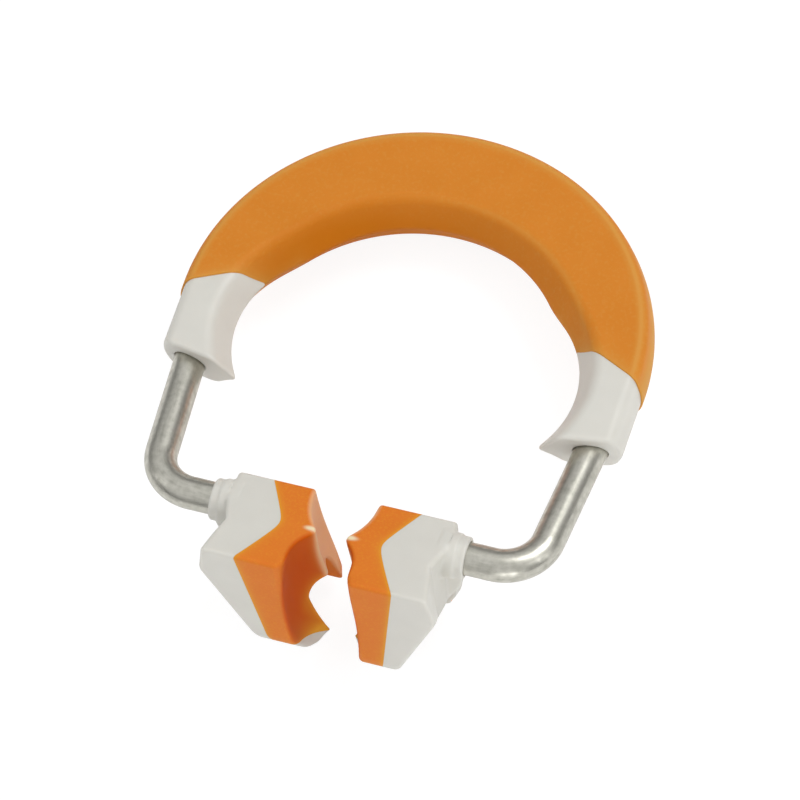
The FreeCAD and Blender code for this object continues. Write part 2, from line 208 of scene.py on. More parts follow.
class StudioSettings(bpy.types.PropertyGroup):
    azimuth: angle("Azimuth", 35.243, "Turn of the camera to the right of the front")
    elevation: angle("Elevation", 69.140, "Height of the camera above the table")
    roll: angle("Roll", -20.620, "Turn of the camera about its own axis")
    distance: size("Distance", 180.245, "Distance of the camera from what it looks at")
    target: spot("Target", (0.553, -1.521, 5.6), "What the camera looks at")
    lens: FloatProperty(name="Lens", description="Focal length in millimetres", default=148.23)


# Placing and meshing

def settings(name):
    """One group of the scene's sizes or finishes."""
    return getattr(bpy.context.scene, "matrix_ring_" + name)


def at_rest(points):
    """Turn points by the resting tilt about X, then shift them back and up."""
    rest = settings("rest")
    c, s = math.cos(rest.tilt), math.sin(rest.tilt)
    turn = np.array([[1, 0, 0], [0, c, s], [0, -s, c]])
    return points @ turn.T + np.array([0, -rest.back, rest.lift])


def make_piece(name, points, faces, material, node, uv=None, marks=None):
    """Set a piece that was drawn flat down at rest, in the place of the frame's node.

    marks maps an attribute's name to one value for each point, for the materials.
    """
    mesh = bpy.data.meshes.new(name)
    mesh.from_pydata(at_rest(points).tolist(), [], faces)
    mesh.polygons.foreach_set("use_smooth", np.ones(len(faces), bool))
    mesh.set_sharp_from_angle(angle=SHARP_EDGE)
    for mark, values in (marks or {}).items():
        layer = mesh.attributes.new(mark, "FLOAT", "POINT")
        layer.data.foreach_set("value", values)
    if uv is not None:
        layer = mesh.uv_layers.new(name="UVMap")
        layer.data.foreach_set("uv", uv.ravel())
    mesh.materials.append(material)
    piece = bpy.data.objects.new(name, mesh)
    bpy.context.scene.collection.objects.link(piece)
    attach(piece, "root")
    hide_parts(node)
    return piece


def wrapped_faces(rows, columns, close_rows=True):
    """Quads of a grid whose columns close on themselves, and whose rows may too."""
    last = rows if close_rows else rows - 1
    i, j = np.meshgrid(np.arange(last), np.arange(columns), indexing="ij")
    up, right = (i + 1) % rows, (j + 1) % columns
    quads = np.stack([i * columns + j, i * columns + right, up * columns + right,
                      up * columns + j], axis=-1)
    return quads.reshape(-1, 4)


# Spring wire

def wire_end_z(w):
    """Height of the wire's ends over the band's plane, after their climb."""
    return (w.rise_y - w.tip_y) * math.tan(w.rise)


def wire_line(per_bend=28):
    """Centre line of the wire: straight runs joined by arcs that touch them.

    A corner turned to an arc of radius r starts r / tan(half its angle) before the
    corner. Points on the arc are the blend sin((1 - t) w) a + sin(t w) b over sin(w)
    of the arms a and b from the arc's centre, w being the angle between them.
    """
    w = settings("wire")
    slope = math.tan(w.lean)
    flat_y = w.rise_y + (w.tip_y - w.rise_y) / math.cos(w.rise)
    end_z = wire_end_z(w)
    bow_r = (w.exit_x + slope * w.bow_y) * math.cos(w.lean)
    bow_start = np.array([bow_r * math.cos(w.lean), w.bow_y - bow_r * math.sin(w.lean), 0])
    corners = np.array([
        [w.end_x, w.tip_y, end_z],
        [w.exit_x + slope * flat_y, w.tip_y, end_z],
        [w.exit_x + slope * w.rise_y, w.rise_y, 0],
        bow_start,
    ])
    run = [corners[:1]]
    t = np.linspace(0, 1, per_bend)[:, None]
    for before, corner, after, r in zip(corners, corners[1:], corners[2:], (w.bend_r, w.rise_r)):
        back = (before - corner) / np.linalg.norm(before - corner)
        ahead = (after - corner) / np.linalg.norm(after - corner)
        half = 0.5 * math.acos(back @ ahead)
        centre = corner + (back + ahead) / np.linalg.norm(back + ahead) * r / math.sin(half)
        a = corner + back * r / math.tan(half) - centre
        b = corner + ahead * r / math.tan(half) - centre
        turn = math.pi - 2 * half
        arm = (np.sin((1 - t) * turn) * a + np.sin(t * turn) * b) / math.sin(turn)
        run.append(centre + arm)
    turn = np.linspace(-w.lean, math.pi / 2, 4 * per_bend)
    bow = np.stack([bow_r * np.cos(turn), w.bow_y + bow_r * np.sin(turn), 0 * turn], axis=1)
    half_line = np.concatenate(run + [bow])
    other = half_line[-2::-1] * np.array([-1, 1, 1])
    return np.concatenate([half_line, other])


def along_frames(line):
    """Tangent, outward side and upward direction at each point of a line."""
    tangent = np.gradient(line, axis=0)
    tangent /= np.linalg.norm(tangent, axis=1, keepdims=True)
    side = np.cross(tangent, [0, 0, 1.0])
    side /= np.linalg.norm(side, axis=1, keepdims=True)
    return tangent, side, np.cross(side, tangent)


def tube_rows(line, radius, turns):
    """Rings of points at a radius from a line, at the given angles round it."""
    tangent, side, upward = along_frames(line)
    ring = (np.cos(turns)[None, :, None] * side[:, None]
            + np.sin(turns)[None, :, None] * upward[:, None])
    radius = np.broadcast_to(radius, len(line))
    return line[:, None] + ring * radius[:, None, None]


def build_wire(material, around=56):
    """Tube along the wire's line. Each end is chamfered and shut by a very small ring.

    The UV map holds the share of the way round and the millimetres along the wire.
    """
    w = settings("wire")
    line = wire_line()
    chamfer = 0.12 * MM
    tip_in = line[:1] + np.array([[chamfer, 0, 0]])
    line = np.concatenate([line[:1], tip_in, line[1:-1], tip_in * [-1, 1, 1], line[-1:]])
    radius = np.full(len(line), w.diameter / 2)
    radius[[0, -1]] -= chamfer
    turns = -np.linspace(0, 2 * math.pi, around, endpoint=False)
    tube = tube_rows(line, radius, turns)
    closing = 0.02
    first = line[0] + (tube[:1] - line[0]) * closing
    last = line[-1] + (tube[-1:] - line[-1]) * closing
    rows = np.concatenate([first, tube, last])
    faces = wrapped_faces(len(rows), around, close_rows=False)
    ends = [np.arange(around)[::-1], np.arange(around) + (len(rows) - 1) * around]
    steps = np.linalg.norm(np.diff(line, axis=0), axis=1)
    length = np.concatenate([[0, 0], np.cumsum(steps), [steps.sum()]])
    column = np.tile([0, 1, 1, 0], (len(faces), 1)) + (faces[:, :1] % around)
    uv = np.stack([column / around, length[faces // around] / MM], axis=-1).reshape(-1, 2)
    uv = np.concatenate([uv, np.zeros((2 * around, 2))])
    quads_and_ends = faces.tolist() + [end.tolist() for end in ends]
    return make_piece("wire", rows.reshape(-1, 3), quads_and_ends, material, "spring_wire", uv)


# Band

# The band's sections stand on rays from this place on the middle plane
RAY_Y = 4.5 * MM
# Ray angles between which each end face and border lies
RAYS_LOW, RAYS_HIGH = -0.8, 0.9


def ray_to_circle(turn, cx, cy, radius):
    """Distance from (0, RAY_Y) along a ray to a circle round (cx, cy), on its far side."""
    dx, dy = cx, cy - RAY_Y
    along = dx * np.cos(turn) + dy * np.sin(turn)
    return along + np.sqrt(radius ** 2 - dx ** 2 - dy ** 2 + along ** 2)


def ray_to_side(turn, radius, b):
    """Distance along a ray to the outer side: the arc, and below it its tangent line."""
    end_x = radius * math.cos(b.taper)
    end_y = b.outer_y - radius * math.sin(b.taper) - RAY_Y
    slope = math.tan(b.taper)
    straight = (end_x - slope * end_y) / (np.cos(turn) - slope * np.sin(turn))
    return np.where(turn < math.atan2(end_y, end_x), straight,
                    ray_to_circle(turn, 0, b.outer_y, radius))


def soft_max(a, b, blend):
    """The larger of two values, with the change from one to the other rounded off."""
    near = np.maximum(blend - np.abs(a - b), 0) / blend
    return np.maximum(a, b) + near ** 2 * blend / 4


def section_corners(turn, side, inner, crease, top, b):
    """Six corners of the band's section on a ray: belt, rim, crease and back below."""
    blend = 0.35 * MM
    belt_out = ray_to_side(turn, b.outer - side, b)
    rim_out = ray_to_side(turn, b.outer - b.bevel - side, b)
    belt_in = soft_max(ray_to_circle(turn, 0, b.inner_y, b.inner + inner),
                       ray_to_circle(turn, *b.hollow_at, b.hollow), blend)
    rim_in = soft_max(ray_to_circle(turn, 0, b.crease_y, b.crease + crease),
                      ray_to_circle(turn, *b.hollow_at, b.hollow + b.hollow_bevel), blend)
    level = np.full_like(turn, b.half_t - top)
    out = np.stack([belt_out, rim_out, rim_in, belt_in, rim_in, rim_out], axis=-1)
    high = np.stack([0 * level, level, level, 0 * level, -level, -level], axis=-1)
    return np.stack([out, high], axis=-1)


def round_section(corners, radii, steps=8, fills=(0.08, 0.35, 0.65, 0.92)):
    """Outline with each corner turned to an arc that touches both of its sides.

    steps is the number of points on an arc, and fills are the shares of the flat runs
    between the arcs at which more points are let in.
    """
    back = np.roll(corners, 1, axis=-2) - corners
    ahead = np.roll(corners, -1, axis=-2) - corners
    back /= np.linalg.norm(back, axis=-1, keepdims=True)
    ahead /= np.linalg.norm(ahead, axis=-1, keepdims=True)
    half = 0.5 * np.arccos(np.clip((back * ahead).sum(-1), -1, 1))[..., None]
    r = np.array(radii)[:, None]
    halfway = (back + ahead) / np.linalg.norm(back + ahead, axis=-1, keepdims=True)
    centre = corners + halfway * r / np.sin(half)
    a = corners + back * r / np.tan(half) - centre
    b = corners + ahead * r / np.tan(half) - centre
    turn = math.pi - 2 * half
    t = np.linspace(0, 1, steps)[:, None]
    a, b, turn, centre = (v[..., None, :] for v in (a, b, turn, centre))
    arcs = centre + (np.sin((1 - t) * turn) * a + np.sin(t * turn) * b) / np.sin(turn)
    start, stop = arcs[..., -1:, :], np.roll(arcs[..., :1, :], -1, axis=-3)
    f = np.array(fills)[:, None]
    whole = np.concatenate([arcs, start + f * (stop - start)], axis=-2)
    return whole.reshape(*corners.shape[:-2], -1, 2)


def band_skin(turn, offsets, radii, b):
    """Points of the band's surface, one for each ray angle and place round the section.

    turn has one angle for each ray and section place, so that a row can follow a cut
    that isn't a ray. Each column k uses place k of the section on its own ray.
    """
    rows, columns = turn.shape
    corners = section_corners(turn.reshape(-1), *offsets, b)
    outline = round_section(corners, radii)
    place = np.tile(np.arange(columns), rows)
    out, high = outline[np.arange(rows * columns), place].T
    flat = turn.reshape(-1)
    points = np.stack([out * np.cos(flat), RAY_Y + out * np.sin(flat), high], axis=-1)
    return points.reshape(rows, columns, 3)


def end_depth(points, b):
    """Distance behind the end face of the right-hand grip."""
    end_in, end_out = np.array(b.end_in), np.array(b.end_out)
    dx, dy = (end_out - end_in) / np.linalg.norm(end_out - end_in)
    c, s = math.cos(b.end_lean), math.sin(b.end_lean)
    normal = np.array([-dy, dx * c, dx * s])
    foot = np.array([end_in[0], end_in[1] * c, end_in[1] * s])
    return (points - foot) @ normal


def border_depth(points, b):
    """Distance behind the cover's border: y less the height of a bent line at |x|."""
    x = np.abs(points[..., 0])
    (x0, y0), (x1, y1) = b.border_in, b.border_out
    along = y0 + (x - x0) * (y1 - y0) / (x1 - x0)
    line = np.where(x > x0, along, np.interp(x, [b.border_tip, x0], [b.border_mid, y0]))
    return points[..., 1] - line


def find_turn(depth, wanted, offsets, radii, b, columns):
    """Ray angle at which each column reaches the wanted depth, by halving an interval."""
    low = np.full((1, columns), RAYS_LOW)
    high = np.full((1, columns), RAYS_HIGH)
    for _ in range(40):
        middle = (low + high) / 2
        past = depth(band_skin(middle, offsets, radii, b), b) > wanted
        low, high = np.where(past, low, middle), np.where(past, middle, high)
    return (low + high) / 2


def mirrored_rows(rows):
    """The left half's rows, from the crown to the left end."""
    return rows[::-1] * np.array([-1, 1, 1])


def drawn_in(rows, amount):
    """Rows moved by an amount towards the middle of their own section."""
    middle = rows.mean(axis=1, keepdims=True)
    arm = rows - middle
    return rows - arm / np.linalg.norm(arm, axis=-1, keepdims=True) * amount


def lipped_start(depth, offsets, radii, b, columns, amount, steps=5):
    """Rows that round off the edge between a cut face and the band's skin."""
    rows = []
    for part in np.linspace(math.pi / 2, 0, steps):
        turn = find_turn(depth, amount * (1 - math.sin(part)), offsets, radii, b, columns)
        row = band_skin(turn, offsets, radii, b)
        rows.append(drawn_in(row, amount * (1 - math.cos(part))))
    return np.concatenate(rows), turn


def skin_from(turn, last, offsets, radii, b, count):
    """Rows from the given ray angles to the last one, the crown being at a right angle."""
    t = np.linspace(0, 1, count + 1)[1:, None]
    return band_skin(turn + (last - turn) * t, offsets, radii, b)


def band_values():
    """The band's sizes, how far each of its skins lies inside the cover's outside, the
    radii of each skin's six corners, and the number of points in a section."""
    b = settings("band")
    outer = (0.0, 0.0, 0.0, 0.0)
    grip = (b.step, b.step, b.skin_crease, b.step)
    hidden = (b.skin_outer, b.skin_inner, b.skin_crease, b.skin_top)
    cover = (b.belt_round, b.upper_round, b.crease_round, b.inner_round, b.crease_round,
             b.outer_round)
    bare = (b.belt_round, b.upper_round, b.crease_round, b.inner_round, b.crease_round,
            b.grip_round)
    under = (1.0 * MM, 0.5 * MM, 0.3 * MM, 0.3 * MM, 0.3 * MM, 0.5 * MM)
    columns = round_section(section_corners(np.zeros(1), *outer, b), cover).shape[1]
    return b, (outer, cover), (grip, bare), (hidden, under), columns


def build_cover(material, count=110):
    """Closed shell: the outside, with its borders rolled in, joined to the inside."""
    b, outer, _, hidden, columns = band_values()
    lip, turn = lipped_start(border_depth, *outer, b, columns, b.lip)
    skin = np.concatenate([lip, skin_from(turn, math.pi / 2, *outer, b, count)])
    skin = np.concatenate([skin, mirrored_rows(skin)[1:]])
    turn = find_turn(border_depth, 0, *hidden, b, columns)
    inside = np.concatenate([band_skin(turn, *hidden, b),
                             skin_from(turn, math.pi / 2, *hidden, b, count // 2)])
    inside = np.concatenate([inside, mirrored_rows(inside)[1:]])
    points = np.concatenate([skin, inside[::-1]]).reshape(-1, 3)
    faces = wrapped_faces(len(skin) + len(inside), columns)[:, ::-1]
    return make_piece("cover", points, faces.tolist(), material, "band_cover",
                      marks=cover_marks(points, b))


def cover_marks(points, b):
    """Where the cover gets painted shade, and where it gets painted light.

    The painted shade (the hollow mark) starts 0.25 mm outside the crease, further out
    towards the left, and is full 1.1 mm further in; it fades towards the right. The thin
    mark is painted light: a paler tone through the thin borders and over the outer side,
    and painted highlights along the crease on the right and along the outer edges.
    """
    x, y, z = points.T
    inwards = b.crease - np.hypot(x, y - b.crease_y)
    # Painted shade on the inner bevel, stronger towards the left
    depth = inwards + 0.25 * MM - x / 24
    shade_on_left = np.clip(0.7 - x / (14 * MM), 0.05, 1)
    hollow = np.clip(depth / (1.1 * MM), 0, 1) * shade_on_left
    # Painted light: paler tone through the thin border
    border = 0.7 * np.exp(-border_depth(points, b).clip(0) / (0.35 * MM))
    # Painted highlight along the crease, on the right only
    highlight_on_right = np.clip(0.5 + x / (8 * MM), 0, 1)
    crease = 0.35 * highlight_on_right * np.exp(-((inwards + 0.1 * MM) / (0.14 * MM)) ** 2)
    # Painted highlight line along the outer edges
    outwards = np.hypot(x, y - b.outer_y) - (b.outer - b.bevel - 0.3 * MM)
    edge = 0.8 * np.exp(-(outwards / (0.18 * MM)) ** 2)
    # Painted light: paler tone over the outer side
    below_top = b.half_t - 0.25 * MM - np.abs(z)
    side = np.clip(below_top / (0.9 * MM), 0, 0.9) * (outwards > 0)
    return {"hollow": hollow, "thin": np.max([border, crease, edge, side], axis=0)}


def build_core(material, count=70):
    """Closed shell: the grips and the part under the cover outside, and the end faces
    and the wire's tunnel inside."""
    b, _, grip, hidden, columns = band_values()
    edge, turn = lipped_start(end_depth, *grip, b, columns, b.end_round, steps=7)
    stop = find_turn(border_depth, b.lip, *grip, b, columns)
    t = np.linspace(0, 1, 40)[1:, None]
    grip_rows = band_skin(turn + (stop - turn) * t, *grip, b)
    turn = find_turn(border_depth, b.lip, *hidden, b, columns)
    under = np.concatenate([band_skin(turn, *hidden, b),
                            skin_from(turn, math.pi / 2, *hidden, b, count)])
    half = np.concatenate([edge, grip_rows, under])
    skin = np.concatenate([half, mirrored_rows(half)[1:]])
    inner_half = end_rings(half[0], b)
    inner = np.concatenate([inner_half, mirrored_rows(inner_half)[1:]])
    points = np.concatenate([skin, inner[::-1]]).reshape(-1, 3)
    faces = wrapped_faces(len(skin) + len(inner), columns)[:, ::-1]
    return make_piece("core", points, faces.tolist(), material, "band_core")


def end_rings(outline, b):
    """Rows from a grip's outline across its end face and on down the wire's hole.

    The mouth of the hole is where lines along the wire meet the end face: a point p
    moves by -a d(p) / (d(p + a) - d(p)) along the wire's direction a, d being the depth.
    """
    line = wire_line()
    line = line[(line[:, 1] > -0.5 * MM) & (line[:, 0] >= 0)]
    tangent, side, upward = along_frames(line)
    arm = outline - line[0]
    around = np.arctan2(arm @ upward[0], arm @ side[0])
    tunnel = tube_rows(line, settings("wire").diameter / 2 + b.wire_gap, around)
    past_face = 0.3 * MM
    tunnel = tunnel[end_depth(tunnel, b).min(axis=1) > past_face]
    ahead = tangent[0]
    depth = end_depth(tunnel[0], b)
    pace = end_depth(tunnel[0] + ahead, b) - depth
    mouth = tunnel[0] - ahead * (depth / pace)[:, None]
    flare = mouth + (mouth - mouth.mean(axis=0)) * 0.05
    face = flare + (outline - flare) * np.linspace(0, 1, 7)[:-1, None, None]
    sunk = mouth + ahead * 0.07 * MM
    return np.concatenate([face[::-1], sunk[None], tunnel])


# Tips

NOTCH_EDGE = 0.08 * MM
HOLE_EDGE = 0.05 * MM
HOLE_GAP = 0.02 * MM
COLLAR_EDGE = 0.12 * MM
GUSSET_EDGE = 0.15 * MM
ARM_FILLET = 0.15 * MM
# The grids that the right-hand body and pad are meshed on span these distances from the
# middle, and this much more than the tip in height and length
BODY_SPAN = (0.1 * MM, 7.4 * MM)
PAD_SPAN = (0.1 * MM, 4.8 * MM)
SPARE = 0.3 * MM


def carve(a, b, r):
    """What lies in both a and b, fields being below zero inside, with edges rounded to r."""
    if r == 0:
        return np.maximum(a, b)
    corner = np.hypot(np.maximum(a + r, 0), np.maximum(b + r, 0))
    return np.minimum(np.maximum(a, b), -r) + corner


def weld(a, b, r):
    """What lies in a or in b, with a fillet of radius r where they meet."""
    return -carve(-a, -b, r)


def left_of(u, v, a, b):
    """Distance to the left of the line from a to b, below zero on its right."""
    du, dv = b[0] - a[0], b[1] - a[1]
    return (du * (v - a[1]) - dv * (u - a[0])) / np.hypot(du, dv)


def barrel(p, at, radius, t, lean=0.0):
    """Depth inside a barrel: its radius at this level less the distance from its axis."""
    x, y, z = p
    up = z - t.bulge_z
    waist = radius - t.bulge + np.sqrt(np.maximum(t.bulge ** 2 - up ** 2, 0))
    return waist - np.hypot(x - at[0] - up * math.tan(lean), y - at[1])


def fore_hollow(p, t):
    """Above zero in the front hollow."""
    return barrel(p, t.fore_hollow, t.fore_hollow_r, t)


def rear_hollow(p, t):
    """Above zero in the rear hollow, whose axis leans outwards."""
    return barrel(p, t.rear_hollow, t.rear_hollow_r, t, t.rear_hollow_lean)


def wedge_notch(p, t):
    """Below zero inside the notch, which is arched over four straight runs."""
    _, y, z = p
    arch = [t.leg_end, t.notch_fore, t.notch_top, t.notch_rear, t.heel]
    notch = left_of(y, z, *arch[:2])
    for a, b in zip(arch[1:], arch[2:]):
        notch = carve(notch, left_of(y, z, a, b), t.notch_round)
    return notch


def circle_through(a, m, b):
    """Centre and radius of the circle through three points, from equal distances."""
    rows = 2 * np.array([np.subtract(m, a), np.subtract(b, a)])
    known = np.array([np.dot(m, m) - np.dot(a, a), np.dot(b, b) - np.dot(a, a)])
    centre = np.linalg.solve(rows, known)
    return centre, math.dist(centre, a)


def rounded_ramp(u, r):
    """About u above zero and about 0 below it, the bend between them rounded off."""
    return (u + np.hypot(u, r)) / 2


def pad_field(p, t):
    """Below zero in the pad: inside the bent border line and above the rim of the foot.

    The border bends at the kink and draws in towards the foot. The two factors are the
    cosines of the border's and the rim's slopes, which make the field a distance.
    """
    x, y, z = p
    kink_x, kink_y = t.pad_kink
    fore = rounded_ramp(kink_y - y, t.kink_round) / (kink_y - t.front_y)
    rear = rounded_ramp(y - kink_y, t.kink_round) / (t.rear_y - kink_y)
    border = kink_x + fore * (t.pad_fore - kink_x) + rear * (t.pad_rear - kink_x)
    inwards = t.pad_taper * (t.high_z - z) / (t.high_z - t.low_z)
    border = border - inwards * (0.4 + 0.6 * (fore + rear))
    slope = (t.rim_foot - t.rim_fore) / (t.foot[0] - t.front_y)
    rim = t.rim_foot + slope * (y - t.foot[0])
    return np.maximum((x - border) * 0.85, (rim - z) * 0.91)


def outside_pad(p, t):
    """Below zero in the white body's share of a tip."""
    return -pad_field(p, t)


def pad_marks(points, t):
    """Where a pad gets painted shade, painted light and a painted sheen.

    The front hollow gets painted shade (the hollow mark). The thin mark is painted light
    through thin rubber, on the hollow's edges at the notch, at the ridge and at the foot,
    and on the pad's border. The sheen mark is painted highlight: a dab on the nose's top
    and a line along the ridge between the hollows, and more faintly a painted sheen over
    all of the rear hollow. Each fades as e to the power of the distance over a width, or
    of its square for the dab and the ridge.
    """
    p = points.T
    x, y, z = p
    fore, rear, notch = -fore_hollow(p, t), -rear_hollow(p, t), wedge_notch(p, t)
    # Painted shade inside the front hollow
    hollow = np.clip(1.25 - fore / (0.2 * MM), 0, 1)
    # Painted light through the thin rims at the notch, the ridge and the foot, and along the pad's
    # border
    lit_rims = np.exp(-np.minimum(notch, 1.6 * rear).clip(0) / (0.35 * MM))
    foot = np.exp((t.foot[1] - z + 1.1 * MM) / (0.8 * MM)).clip(0, 1)
    border = 0.85 * np.exp(pad_field(p, t).clip(max=0) / (0.13 * MM))
    # Painted highlight: a dab on the nose's top
    nose_highlight = ((x - 1.05 * MM) / (0.42 * MM)) ** 2 + ((y + 9.25 * MM) / (0.17 * MM)) ** 2
    nose_highlight = np.exp(-nose_highlight ** 2) * (-tip_top(y, z, t) < 0.145 * MM)
    # Painted highlight along the ridge, and a fainter painted sheen over the rear hollow
    ridge_highlight = np.exp(-(rear / (0.22 * MM)) ** 2) * np.clip(1.4 - fore / (0.3 * MM), 0, 1)
    rear_sheen = np.clip(1.25 - rear / (0.2 * MM), 0, 1)
    return {"hollow": hollow, "thin": np.maximum(hollow * np.maximum(lit_rims, foot), border),
            "flash": np.max([nose_highlight, 0.42 * rear_sheen, 0.85 * ridge_highlight], axis=0)}


def tip_top(y, z, t):
    """Height above the sloping top face, measured square to it."""
    return (z - t.top_z - (t.nose[1] - y) * math.tan(t.top_slope)) * math.cos(t.top_slope)


def tip_flanks(p, t):
    """Below zero between the nose's two faces, the outer side and the slanted lower side.

    Each corner of the nose moves on a straight line from the lower level to the upper.
    """
    x, y, z = p
    part = (z - t.low_z) / (t.high_z - t.low_z)
    nose = [low + (high - low) * part for low, high in zip(t.nose_low, t.nose)]
    rear = [low + (high - low) * part for low, high in zip(t.rear_low, t.rear)]
    solid = carve(left_of(x, y, nose, rear), left_of(x, y, t.fore, nose), t.edge_round)
    places = [t.front_y, t.waist[1], t.side_turn, t.rear_y]
    cheek = t.cheek_x + t.flare * (t.lean_z - z)
    side = np.interp(y, places, [1, 0, 0, 0]) * cheek
    side = side + np.interp(y, places, [0, t.waist[0], t.side_x, t.side_x])
    solid = carve(solid, (x - side) * 0.97, t.edge_round)
    c, s = math.cos(t.lean), math.sin(t.lean)
    across = math.cos(t.sweep) * (x - t.cheek_x) - math.sin(t.sweep) * (y - t.front_y)
    up = z - t.lean_z
    slant = carve(s * up - c * across, s * across + c * up, 0)
    return carve(solid, -slant, t.edge_round)


def tip_block(p, t):
    """The flanks, carved to the side view: top, front, chin, toe and both legs' soles."""
    _, y, z = p
    solid = carve(tip_flanks(p, t), tip_top(y, z, t), t.edge_round)
    outline = [(t.front_y, t.top_z), t.chin, t.toe, t.foot, t.leg_end]
    for a, b in zip(outline, outline[1:]):
        solid = carve(solid, -left_of(y, z, a, b), t.edge_round)
    under_heel = carve(left_of(y, z, t.heel, t.heel_rear), t.notch_top[0] - y, 0)
    solid = carve(solid, -under_heel, t.edge_round)
    return carve(solid, -left_of(y, z, t.heel_rear, (t.rear_y, t.top_z)), t.edge_round)


def tip_arm(p, t, w):
    """Below zero in the collar and its boss, with the gusset under them.

    The gusset is a slice of a disc through the three points of its edge, cut off above
    the wire's axis and along a line from its lowest point in to the wire's end.
    """
    x, y, z = p
    off = np.hypot(y - w.tip_y, z - wire_end_z(w))
    sleeve = carve(off - t.collar_r, x - t.collar_x, COLLAR_EDGE)
    boss = carve(off - t.boss_r, x - t.boss_x, COLLAR_EDGE)
    collar = weld(sleeve, boss, COLLAR_EDGE)
    centre, reach = circle_through(t.gusset_low, t.gusset_mid, t.gusset_top)
    disc = np.hypot(x - centre[0], z - centre[1]) - reach
    gusset = carve(disc, np.abs(y - w.tip_y) - t.gusset_t / 2, GUSSET_EDGE)
    gusset = carve(gusset, z - wire_end_z(w), 0)
    inner_end = (w.end_x, t.gusset_low[1] + MM)
    gusset = carve(gusset, left_of(x, z, t.gusset_low, inner_end), 0)
    arm = carve(weld(collar, gusset, COLLAR_EDGE), t.side_x - 0.5 * MM - x, 0)
    return carve(arm, np.where(x < t.side_x, tip_top(y, z, t), -t.edge_round), 0)


def tip_field(p, t):
    """Below zero in a right-hand tip: the block with the notch and the hollows carved
    out of it, the arm welded on, and the wire's hole carved out of both."""
    w = settings("wire")
    x, y, z = p
    solid = carve(tip_block(p, t), -wedge_notch(p, t), NOTCH_EDGE)
    solid = carve(solid, fore_hollow(p, t), t.hollow_round)
    solid = carve(solid, rear_hollow(p, t), t.hollow_round)
    solid = weld(solid, tip_arm(p, t, w), ARM_FILLET)
    off = np.hypot(y - w.tip_y, z - wire_end_z(w))
    hole = carve(off - w.diameter / 2 - HOLE_GAP, w.end_x - x, 0)
    return carve(solid, -hole, HOLE_EDGE)


def settle(points, fields, t, both, rounds=4):
    """Move points onto the surface by Newton's rule, p less F times its slope over the
    slope's square, and those marked both onto the line where the two fields are zero.

    Slopes are central differences. No move is longer than a part of a grid step, and
    the least values keep the divisions sound where a slope nearly vanishes.
    """
    h = 0.005 * MM
    longest = 0.06 * MM
    steps = h * np.eye(3)[:, :, None]
    for _ in range(rounds):
        values = np.stack([f(points.T, t) for f in fields])
        slopes = np.stack([[(f(points.T + d, t) - f(points.T - d, t)) / (2 * h) for d in steps]
                           for f in fields])
        first = values.argmax(axis=0)
        pick = np.arange(len(points))
        value, slope = values[first, pick], slopes[first, :, pick]
        move = value[:, None] * slope / (slope ** 2).sum(axis=1, keepdims=True).clip(0.2)
        a, b = slopes[0].T, slopes[1].T
        aa, bb, ab = (a * a).sum(1), (b * b).sum(1), (a * b).sum(1)
        det = (aa * bb - ab ** 2).clip(0.1)
        ka = (bb * values[0] - ab * values[1]) / det
        kb = (aa * values[1] - ab * values[0]) / det
        move = np.where(both[:, None], ka[:, None] * a + kb[:, None] * b, move)
        reach = np.linalg.norm(move, axis=1, keepdims=True)
        points = points - move * np.minimum(1, longest / np.maximum(reach, 1e-12))
    return points


def crossed_cells(values):
    """Grid cells whose eight corners don't all lie on the same side of a field's zero."""
    inside = values < 0
    corners = np.stack([inside[i:i - 1 or None, j:j - 1 or None, k:k - 1 or None]
                        for i in (0, 1) for j in (0, 1) for k in (0, 1)])
    return corners.any(axis=0) & ~corners.all(axis=0)


def net_over(fields, t, low, high):
    """Quads round the solid that lies in both fields.

    Each grid cell that the surface crosses gets a point, the mean of the places where
    the surface crosses the cell's edges, and each crossed grid edge gets a face between
    the points of the four cells round it. Also told is which points lie on both fields.
    """
    axes = [np.arange(a, b + t.grain, t.grain) for a, b in zip(low, high)]
    grid = np.stack(np.meshgrid(*axes, indexing="ij"))
    values = [f(grid, t) for f in fields]
    value = np.maximum(*values)
    cells = crossed_cells(value)
    both = crossed_cells(values[0]) & crossed_cells(values[1])
    number = np.full(cells.shape, -1)
    number[cells] = np.arange(cells.sum())
    total = np.zeros((*cells.shape, 3))
    count = np.zeros(cells.shape)
    place = np.moveaxis(grid, 0, -1)
    quads = []
    for axis in range(3):
        v = np.moveaxis(value, axis, 0)
        q = np.moveaxis(place, axis, 0)
        change = (v[:-1] < 0) != (v[1:] < 0)
        part = np.where(change, v[:-1] / np.where(change, v[:-1] - v[1:], 1), 0)[..., None]
        spot_on = np.where(change[..., None], q[:-1] + part * (q[1:] - q[:-1]), 0)
        sums = np.moveaxis(total, axis, 0)
        counts = np.moveaxis(count, axis, 0)
        for j in (slice(None, -1), slice(1, None)):
            for k in (slice(None, -1), slice(1, None)):
                sums += spot_on[:, j, k]
                counts += change[:, j, k]
        near = np.moveaxis(number, axis, 0)
        i, j, k = np.nonzero(change[:, 1:-1, 1:-1])
        quad = np.stack([near[i, j, k], near[i, j + 1, k], near[i, j + 1, k + 1],
                         near[i, j, k + 1]], axis=1)
        outward = v[i, j + 1, k + 1] < 0
        flip = outward == (axis == 1)
        quads.append(np.where(flip[:, None], quad[:, ::-1], quad))
    points = total[cells] / count[cells][:, None]
    return points, np.concatenate(quads), both[cells]


def evened(points, quads):
    """Points moved halfway to the mean of their neighbours along the edges."""
    ends = np.concatenate([quads[:, [0, 1]], quads[:, [1, 2]], quads[:, [2, 3]], quads[:, [3, 0]]])
    total = np.zeros_like(points)
    np.add.at(total, ends[:, 0], points[ends[:, 1]])
    np.add.at(total, ends[:, 1], points[ends[:, 0]])
    count = np.bincount(ends.ravel(), minlength=len(points))[:, None]
    return 0.5 * points + 0.5 * total / count


